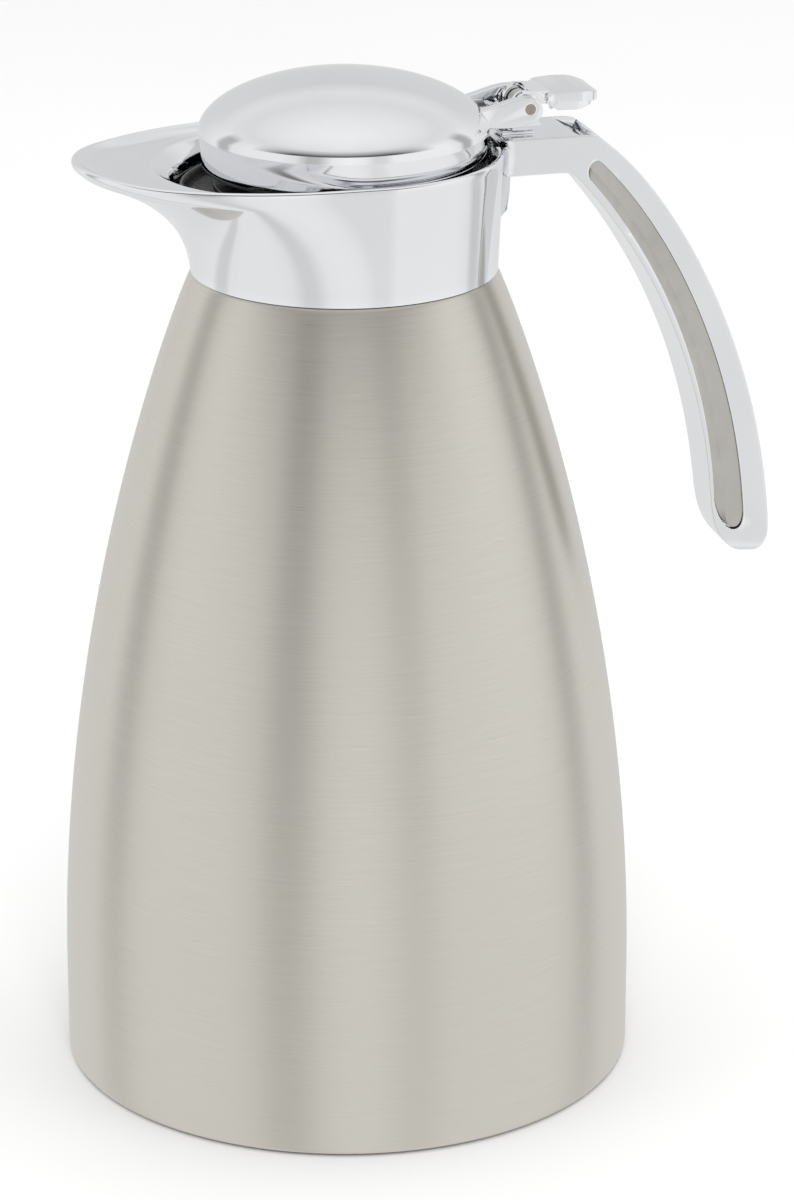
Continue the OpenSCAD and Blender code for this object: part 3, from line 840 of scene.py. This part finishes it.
# Inlays: a groove with its spine a third of the way across
GROOVE = [0.15, 0.72, 1.3, 1.1, 0.9, 0.7]
rows = inlay_rows(60)
strip(rows, len(GROOVE) - 1)
take_all()
bpy.ops.transform.translate(value=(0, -ARM_HALF * MM, 0))
for row in rows:
    for spot, depth in zip(row_spots(row, len(GROOVE) - 1), GROOVE):
        if take("VERT", near([spot], 0.04)):
            lift = ARM_HALF - half_width(spot[1]) + depth
            bpy.ops.transform.translate(value=(0, lift * MM, 0))
take_all()
bpy.ops.mesh.extrude_region_move(TRANSFORM_OT_translate={"value": (0, 0.8 * MM, 0)})
leave()
clean_mesh()
inlay = bpy.context.object
copy_of(inlay)
edit()
take_all()
bpy.ops.transform.resize(value=(1, -1, 1), center_override=(0, 0, 0))
bpy.ops.mesh.normals_make_consistent(inside=False)
leave()
done("grip_inlay_far", "jug", inlay_skin, ["handle_inlay_far"], 12)
make_active(inlay)
done("grip_inlay_near", "jug", inlay_skin, ["handle_inlay_near"], 12)

# Cross pin inside the arm, hidden under its skin
rod(1.0, -8.6, 8.6, pin_x, pin_z, 32)
bevel_edges(0.2, 3, 40)
done("handle_cross_pin", "jug", screw_steel, ["handle_pin"], 40)


# ---- hinge ----

THROUGH = 20
KNUCKLE_R, KNUCKLE_OUT, KNUCKLE_IN = 3.3, 3.9, 2.7
top_of_arm = HEAD + ARM_TOP

post = plate(rounded([(PIN_X - 2.6, PIN_Z - 2), (PIN_X + 2.9, PIN_Z - 1.5), (PIN_X + 3.3, PIN_Z - 3.6),
                      (PIN_X + 4.0, top_of_arm + 1.7), (PIN_X + 5.6, top_of_arm + 0.5),
                      (PIN_X + 5.6, top_of_arm - 0.3), (PIN_X - 3, top_of_arm - 0.3),
                      (PIN_X - 3, top_of_arm + 1.6)], [0, 0, 1, 1.2, 0.3, 0, 0, 0.6]),
             -KNUCKLE_OUT, KNUCKLE_OUT)
knuckles = rod(KNUCKLE_R, -KNUCKLE_OUT, KNUCKLE_OUT, PIN_X, PIN_Z, 64)
cut(post, knuckles, "UNION")
foot = block((PIN_X - 6.0, -5.2, top_of_arm - 0.4), (PIN_X + 2, 5.2, top_of_arm + 0.9))
make_active(foot)
bevel_edges(0.5, 4, 30)
cut(post, foot, "UNION")
slot_cut = rod(KNUCKLE_R + 1.2, -KNUCKLE_IN, KNUCKLE_IN, PIN_X, PIN_Z, 64)
cut(post, slot_cut)
bore = rod(1.26, -THROUGH, THROUGH, PIN_X, PIN_Z, 48)
cut(post, bore)
bevel_edges(0.18, 2, 40)
done("hinge_bracket_post", "jug", bright, ["hinge_bracket"], 40)

# Two screws that hold the bracket's foot
screw_low, screw_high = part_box("bracket_screws")
screw_x = (screw_low.x + screw_high.x) / 2 / MM
screw_y = screw_high.y / MM - 1.2
head_z = screw_high.z / MM
turned([(0, screw_low.z / MM), (0.7, screw_low.z / MM), (0.8, screw_low.z / MM + 0.2),
        (0.8, head_z - 0.75), (1.15, head_z - 0.7), (1.2, head_z - 0.6), (1.15, head_z - 0.35),
        (0.85, head_z - 0.12), (0.45, head_z - 0.02), (0, head_z)], 40, (screw_x, 0))
screw = bpy.context.object
for half_x, half_y in ((0.62, 0.13), (0.13, 0.62)):
    cross = block((screw_x - half_x, -half_y, head_z - 0.4), (screw_x + half_x, half_y, head_z + 1))
    cut(screw, cross)
other = copy_of(screw)
shift_y(other, screw_y)
shift_y(screw, -screw_y)
join([screw, other])
done("bracket_screw_pair", "jug", screw_steel, ["bracket_screws"], 35)

# Yoke: two ears that grow out of the lid, with a web between them
EAR_OUT, EAR_IN = 8.85, 5.9
arc = [(PIN_X + 3.05 * math.cos(math.radians(a)), PIN_Z - 0.35 + 3.05 * math.sin(math.radians(a)))
       for a in range(-95, 91, 10)]
ear = [(31, HEAD + 34), (32.8, HEAD + 33.9), (37, HEAD + 33.65), (40.6, HEAD + 33.65)] + arc + [
    (40.6, HEAD + 40.5), (38.2, HEAD + 40.05), (35.3, HEAD + 39.2), (31, HEAD + 38.0)]
near_ear = plate(ear, -EAR_OUT, -EAR_IN)
far_ear = plate(ear, EAR_IN, EAR_OUT)
web = plate(rounded([(30, HEAD + 34), (35.6, HEAD + 34), (35.6, HEAD + 37.4), (30, HEAD + 37.4)], 0.8),
            -EAR_IN - 0.5, EAR_IN + 0.5)
cut(near_ear, web, "UNION")
cut(near_ear, far_ear, "UNION")
bore = rod(1.21, -THROUGH, THROUGH, PIN_X, PIN_Z, 48)
cut(near_ear, bore)
bevel_edges(0.3, 3, 40)
done("lid_hinge_yoke", "lid", bright_lid, ["hinge_yoke"], 40)

# Thumb lever: a pill-shaped plate over a narrower body, a neck and two cheeks
lever_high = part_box("thumb_lever")[1]
END_X = lever_high.x / MM
TOP_Z = lever_high.z / MM
slab = plate(rounded([(47.3, TOP_Z - 2.0), (END_X - 0.6, TOP_Z - 2.7), (END_X, TOP_Z - 2.0),
                      (END_X, TOP_Z - 1.0), (57.5, TOP_Z - 0.15), (52.5, TOP_Z), (48.6, TOP_Z - 0.4),
                      (47.3, TOP_Z - 1.2)], [0, 0.3, 0.5, 0.8, 2, 2, 1, 0.8], 5), -9, 9)
plan = block((45, -9, TOP_Z - 6), (END_X, 9, TOP_Z + 2))
edit()
take("EDGE", lambda e: all(v.co.x > (END_X - 0.1) * MM for v in e.verts) and same_y(e))
bpy.ops.mesh.bevel(offset=5 * MM, segments=12, affect="EDGES")
take("EDGE", lambda e: all(v.co.x < 45.1 * MM for v in e.verts) and same_y(e))
bpy.ops.mesh.bevel(offset=4 * MM, segments=8, affect="EDGES")
leave()
cut(slab, plan, "INTERSECT")
bevel_edges(0.45, 4, 50)
under = plate(rounded([(48.4, TOP_Z - 1.6), (48.4, TOP_Z - 3.4), (50.0, TOP_Z - 4.6),
                       (END_X - 5.0, TOP_Z - 4.7), (END_X - 1.6, TOP_Z - 3.6),
                       (END_X - 0.9, TOP_Z - 1.9)],
                      [0, 0.4, 0.8, 2.5, 1.2, 0]), -7.7, 7.7)
edit()
take("EDGE", lambda e: same_y(e) and abs(e.verts[0].co.y) > 7.6 * MM
     and all(v.co.x > (END_X - 5.6) * MM for v in e.verts))
bpy.ops.mesh.bevel(offset=0.4 * MM, segments=4, affect="EDGES", clamp_overlap=True)
leave()
under_plan = block((45, -7.7, TOP_Z - 8), (END_X - 0.9, 7.7, TOP_Z))
edit()
take("EDGE", lambda e: all(v.co.x > (END_X - 1.0) * MM for v in e.verts) and same_y(e))
bpy.ops.mesh.bevel(offset=4.4 * MM, segments=12, affect="EDGES")
leave()
cut(under, under_plan, "INTERSECT")
hollow = block((50.6, -6.2, TOP_Z - 8), (END_X - 5.6, 6.2, TOP_Z - 2.6))
cut(under, hollow)
neck = plate(rounded([(PIN_X - 0.8, PIN_Z + 3.6), (48.6, PIN_Z + 3.3), (49.2, PIN_Z + 0.4),
                      (PIN_X + 3.75, PIN_Z + 0.3), (PIN_X + 2.6, PIN_Z + 2.4),
                      (PIN_X - 0.8, PIN_Z + 2.4)], [0.5, 0, 0, 0.3, 0.6, 0.4]), -5.6, 5.6)
cheeks = rod(3.0, -5.6, 5.6, PIN_X, PIN_Z, 64)
cut(neck, cheeks, "UNION")
gap = rod(KNUCKLE_R + 0.4, -4.2, 4.2, PIN_X, PIN_Z, 64)
cut(neck, gap)
bore = rod(1.21, -THROUGH, THROUGH, PIN_X, PIN_Z, 48)
cut(neck, bore)
bevel_edges(0.25, 3, 40)
lugs = []
for side in (-1, 1):
    lug = plate(rounded([(47.5, TOP_Z - 1.6), (50.9, TOP_Z - 1.5), (48.3, TOP_Z - 4.4)],
                        [0, 0, 0.5]), side * 6.6, side * 8.0)
    edit()
    take("FACE", lambda f: f.normal.y * side > 0.9)
    bpy.ops.mesh.inset(thickness=0.35 * MM, depth=-0.5 * MM)
    leave()
    lugs.append(lug)
join([slab, under, neck] + lugs)
done("thumb_lever_plate", "lid", bright_lid, ["thumb_lever"], 40)

# Hinge pin with peened ends
rod(1.2, pin_low.y / MM + 0.02, pin_high.y / MM - 0.02, PIN_X, PIN_Z, 48)
edit()
take("FACE", lambda f: abs(f.normal.y) > 0.9)
bpy.ops.mesh.inset(thickness=0.22 * MM, depth=0.06 * MM, use_individual=True)
bpy.ops.mesh.inset(thickness=0.35 * MM, depth=-0.18 * MM, use_individual=True)
bpy.ops.mesh.inset(thickness=0.3 * MM, depth=-0.05 * MM, use_individual=True)
take("VERT", lambda v: v.co.y < pin_low.y)
bpy.ops.transform.resize(value=(1, 0, 1), center_override=(0, pin_low.y, 0))
take("VERT", lambda v: v.co.y > pin_high.y)
bpy.ops.transform.resize(value=(1, 0, 1), center_override=(0, pin_high.y, 0))
leave()
clean_mesh()
done("hinge_pin_rod", "lid", pin_metal, ["hinge_pin"], 30)

# Torsion spring: a wire ring wound round the pin, with a leg at each end
COIL_R, WIRE_R, TURNS, PITCH = 2.35, 0.4, 5, 0.92
select_nothing()
bpy.ops.mesh.primitive_circle_add(vertices=12, radius=WIRE_R * MM,
                                  location=(PIN_X * MM, -PITCH * TURNS / 2 * MM, PIN_Z * MM))
edit()
take_all()
bpy.ops.transform.translate(value=(-COIL_R * MM, 0, 0))
leave()
add_modifier("SCREW", axis="Y", angle=2 * math.pi * TURNS, steps=24 * TURNS,
             render_steps=24 * TURNS, screw_offset=PITCH * TURNS * MM, iterations=1)
settle()
edit()
half_coil = PITCH * TURNS / 2 * MM
take("EDGE", lambda e: e.is_boundary and all(v.co.y < -half_coil + 0.6 * MM for v in e.verts))
bpy.ops.mesh.extrude_edges_move(TRANSFORM_OT_translate={"value": (-0.4 * MM, 0, -1.4 * MM)})
bpy.ops.mesh.extrude_edges_move(TRANSFORM_OT_translate={"value": (-3.6 * MM, 0, -0.6 * MM)})
bpy.ops.transform.resize(value=(0.6, 1, 1))
bpy.ops.mesh.edge_face_add()
take("EDGE", lambda e: e.is_boundary and all(v.co.y > half_coil - 0.6 * MM for v in e.verts))
bpy.ops.mesh.extrude_edges_move(TRANSFORM_OT_translate={"value": (0.5 * MM, 0, -2.0 * MM)})
bpy.ops.mesh.extrude_edges_move(TRANSFORM_OT_translate={"value": (1.6 * MM, 0, -1.8 * MM)})
bpy.ops.mesh.edge_face_add()
leave()
clean_mesh()
done("torsion_spring_coil", "lid", spring_wire, ["torsion_spring"], 60)


# ---- lid ----

dome_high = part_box("lid_cover")[1]
DOME_R = dome_high.x / MM
DOME_Z = HEAD + 33.8
DOME_RISE = dome_high.z / MM - DOME_Z


def dome_point(angle):
    c, s = math.cos(math.radians(angle)), math.sin(math.radians(angle))
    rise = math.copysign(abs(s)**1.06, s)
    return (DOME_R * max(c, 0)**1.04, DOME_Z + DOME_RISE * rise)


ring_low, ring_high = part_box("lid_ring")
rz = ring_low.z / MM
rr = ring_high.x / MM
outline = [(rr - 1.3, rz + 0.15), (rr - 0.9, rz), (rr - 0.55, rz + 0.03), (rr - 0.3, rz + 0.2),
           (rr - 0.18, rz + 0.5), (rr - 0.05, rz + 2.2), (rr + 0.12, rz + 4.4), (rr + 0.3, rz + 6.4),
           (rr + 0.46, rz + 8.0), (DOME_R - 0.03, DOME_Z - 0.2), (DOME_R, DOME_Z),
           (DOME_R - 0.07, DOME_Z + 0.3)]
outline += [dome_point(a) for a in (7.5, 9, 11, 13, 15, 17.5, 20)]
outline += [dome_point(a) for a in range(23, 90, 3)] + [(0, dome_point(90)[1])]
turned(outline, FINE)
add_modifier("SOLIDIFY", thickness=0.8 * MM, offset=-1)
done("lid_dome", "lid", bright_lid, ["lid_cover", "lid_ring"], 60)

plate_low, plate_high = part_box("lid_carrier")
pz, pr = plate_low.z / MM, plate_high.x / MM
turned([(0, pz), (27.2, pz), (27.4, pz + 0.35), (28.2, pz + 0.35), (28.4, pz), (pr - 0.5, pz),
        (pr - 0.1, pz + 0.15), (pr, pz + 0.5), (pr, pz + 2.5), (pr - 0.15, pz + 2.85),
        (pr - 0.5, pz + 3), (0, pz + 3)], MEDIUM)
done("lid_carrier_plate", "lid", black, ["lid_carrier"], 35)

stop_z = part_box("stopper_body")[0].z / MM
turned(rounded([(0, stop_z + 0.4), (5, stop_z + 0.4), (6, stop_z), (12, stop_z), (12.6, stop_z + 0.6),
                (14, stop_z + 0.6), (14.6, stop_z), (20.8, stop_z), (22, stop_z + 1.2),
                (25, stop_z + 8.7), (25.2, stop_z + 13.2), (25.2, stop_z + 14.8), (31, stop_z + 14.8),
                (31, stop_z + 16.4), (26.5, stop_z + 17.2), (26.5, stop_z + 22.6),
                (19.5, stop_z + 22.6), (19.5, stop_z + 2), (0, stop_z + 2)],
               [0, 0.3, 0.3, 0.2, 0.2, 0.2, 0.2, 0.8, 1.2, 1.5, 0, 0, 0.4, 0.4, 0.8, 0, 0, 0, 0], 4,
               closed=False), 144)
done("stopper_plug", "lid", black, ["stopper_body"], 35)

seal_low, seal_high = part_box("stopper_seal")
sz, sr = seal_low.z / MM, seal_high.x / MM
turned(rounded([(25.3, sz), (27.0, sz), (27.3, sz + 0.4), (28.0, sz + 0.4), (28.3, sz), (sr - 1.3, sz),
                (sr - 0.3, sz + 0.4), (sr, sz + 1.2), (sr, sz + 1.5), (25.3, sz + 1.5)], 0.25, 3),
       MEDIUM, closed=True)
done("stopper_lip_seal", "lid", seal_rubber, ["stopper_seal"], 50)


# ---- floor, light and camera ----

select_nothing()
bpy.ops.mesh.primitive_plane_add(size=20, location=(0, 0, 0))
floor = bpy.context.object
floor.name = "floor"
floor_mat, fn, fl, floor_shader = new_material("pale_floor")
floor_shader.inputs["Roughness"].default_value = 0.9
floor_shader.inputs["Specular IOR Level"].default_value = 0.1
fl.new(ramp(fn, fl, noise(fn, fl, 3, 2), [(0.2, grey(0.90)), (0.8, grey(0.93))]),
       floor_shader.inputs["Base Color"])
floor.data.materials.append(floor_mat)

VIEW_TURN = math.radians(14)


# Soft boxes: name, azimuth (0 is the front, + is right), elevation, distance, size, power
SOFT_BOXES = [("front_soft_box", 3, 40, 1.5, (0.55, 0.30), 5),
              ("left_soft_box", -62, 20, 1.6, (0.7, 1.2), 2.5),
              ("right_soft_box", 62, 20, 1.6, (0.7, 1.2), 2.5),
              ("top_soft_box", 150, 72, 1.6, (1.5, 1.2), 4)]
MIDDLE_OF_JUG = Vector((0, 0, 0.13))

for name, azimuth, elevation, distance, size, power in SOFT_BOXES:
    az = math.radians(azimuth) - VIEW_TURN
    el = math.radians(elevation)
    place = Vector((math.sin(az) * math.cos(el), -math.cos(az) * math.cos(el), math.sin(el)))
    light = bpy.data.lights.new(name, "AREA")
    light.shape = "RECTANGLE"
    light.size, light.size_y = size
    light.energy = power
    lamp = bpy.data.objects.new(name, light)
    lamp.location = MIDDLE_OF_JUG + place * distance
    lamp.rotation_euler = (-place).to_track_quat("-Z", "Y").to_euler()
    bpy.context.scene.collection.objects.link(lamp)
    lamp.visible_camera = False
    lamp.visible_glossy = False

# How bright the studio is all round: (degrees from the front, brightness), + is to the right
WALLS = [(-180, 0.70), (-150, 0.74), (-120, 0.90), (-113, 0.52), (-104, 0.52), (-98, 0.88),
         (-50, 0.92), (-38, 0.84), (-28, 0.53), (-20, 0.55), (-9, 0.92), (4, 1.0), (16, 0.95),
         (25, 0.76), (33, 0.78), (40, 0.96), (90, 0.97), (103, 0.88), (109, 0.46), (116, 0.50),
         (122, 0.92), (155, 0.74), (179, 0.70)]
around_stops = sorted(((0.25 + degrees / 360) % 1, grey(level)) for degrees, level in WALLS)

world = bpy.data.worlds.new("studio")
bpy.context.scene.world = world
world.use_nodes = True
wn, wl = world.node_tree.nodes, world.node_tree.links
coords = wn.new("ShaderNodeTexCoord")
turner = wn.new("ShaderNodeMapping")
turner.inputs["Rotation"].default_value = (0, 0, VIEW_TURN)
wl.new(coords.outputs["Generated"], turner.inputs["Vector"])
around = wn.new("ShaderNodeTexGradient")
around.gradient_type = "RADIAL"
wl.new(turner.outputs["Vector"], around.inputs["Vector"])
walls = ramp(wn, wl, around.outputs["Fac"], around_stops)
parts = wn.new("ShaderNodeSeparateXYZ")
wl.new(turner.outputs["Vector"], parts.inputs["Vector"])
up = parts.outputs["Z"]
ahead = parts.outputs["Y"]
# Near the table the walls even out
low = span(wn, wl, up, 0.55, 0.0, (-0.36, 0.02))
walls = blend_colours(wn, wl, low, walls, grey(0.86))
# High in front hangs a dark canopy, under a pale ceiling
canopy = ramp(wn, wl, up, [(0.36, grey(0)), (0.42, grey(1)), (0.52, grey(1)), (0.78, grey(0))])
front = ramp(wn, wl, span(wn, wl, ahead, 1, 0, (-0.62, -0.12)), [(0, grey(0)), (1, grey(1))])
both = wn.new("ShaderNodeMath")
both.operation = "MULTIPLY"
wl.new(canopy, both.inputs[0])
wl.new(front, both.inputs[1])
over = ramp(wn, wl, up, [(0.5, grey(0.86)), (0.72, grey(0.80)), (1.0, grey(0.96))])
ceiling = blend_colours(wn, wl, span(wn, wl, up, 0, 1, (0.45, 0.6)), walls, over)
room = blend_colours(wn, wl, both.outputs["Value"], ceiling, grey(0.10))


def world_light(colour, strength):
    node = wn.new("ShaderNodeBackground")
    node.inputs["Strength"].default_value = strength
    if isinstance(colour, tuple):
        node.inputs["Color"].default_value = (*colour, 1)
    else:
        wl.new(colour, node.inputs["Color"])
    return node.outputs["Background"]


def choose(factor, a, b):
    node = wn.new("ShaderNodeMixShader")
    wl.new(factor, node.inputs["Fac"])
    wl.new(a, node.inputs[1])
    wl.new(b, node.inputs[2])
    return node.outputs["Shader"]


FILL_LIGHT = 0.93
BACKDROP = 1.0
seen = wn.new("ShaderNodeLightPath")
light = choose(seen.outputs["Is Diffuse Ray"], world_light(room, 1.0), world_light(grey(1), FILL_LIGHT))
light = choose(seen.outputs["Is Camera Ray"], light, world_light(grey(1), BACKDROP))
wl.new(light, wn["World Output"].inputs["Surface"])
floor.visible_glossy = False

DISTANCE, CAMERA_HEIGHT = 1.0303, 0.4882
TILT, HEADING = math.radians(70.13), math.radians(-14.695)
camera_data = bpy.data.cameras.new("camera")
camera_data.sensor_fit = "VERTICAL"
camera_data.sensor_height = 36
camera_data.lens = 134.8
camera = bpy.data.objects.new("camera", camera_data)
camera.location = (-DISTANCE * math.sin(VIEW_TURN), -DISTANCE * math.cos(VIEW_TURN),
                   CAMERA_HEIGHT)
camera.rotation_euler = (TILT, 0, HEADING)
bpy.context.scene.collection.objects.link(camera)
bpy.context.scene.camera = camera
bpy.context.scene.view_settings.view_transform = "Standard"

bpy.context.view_layer.update()
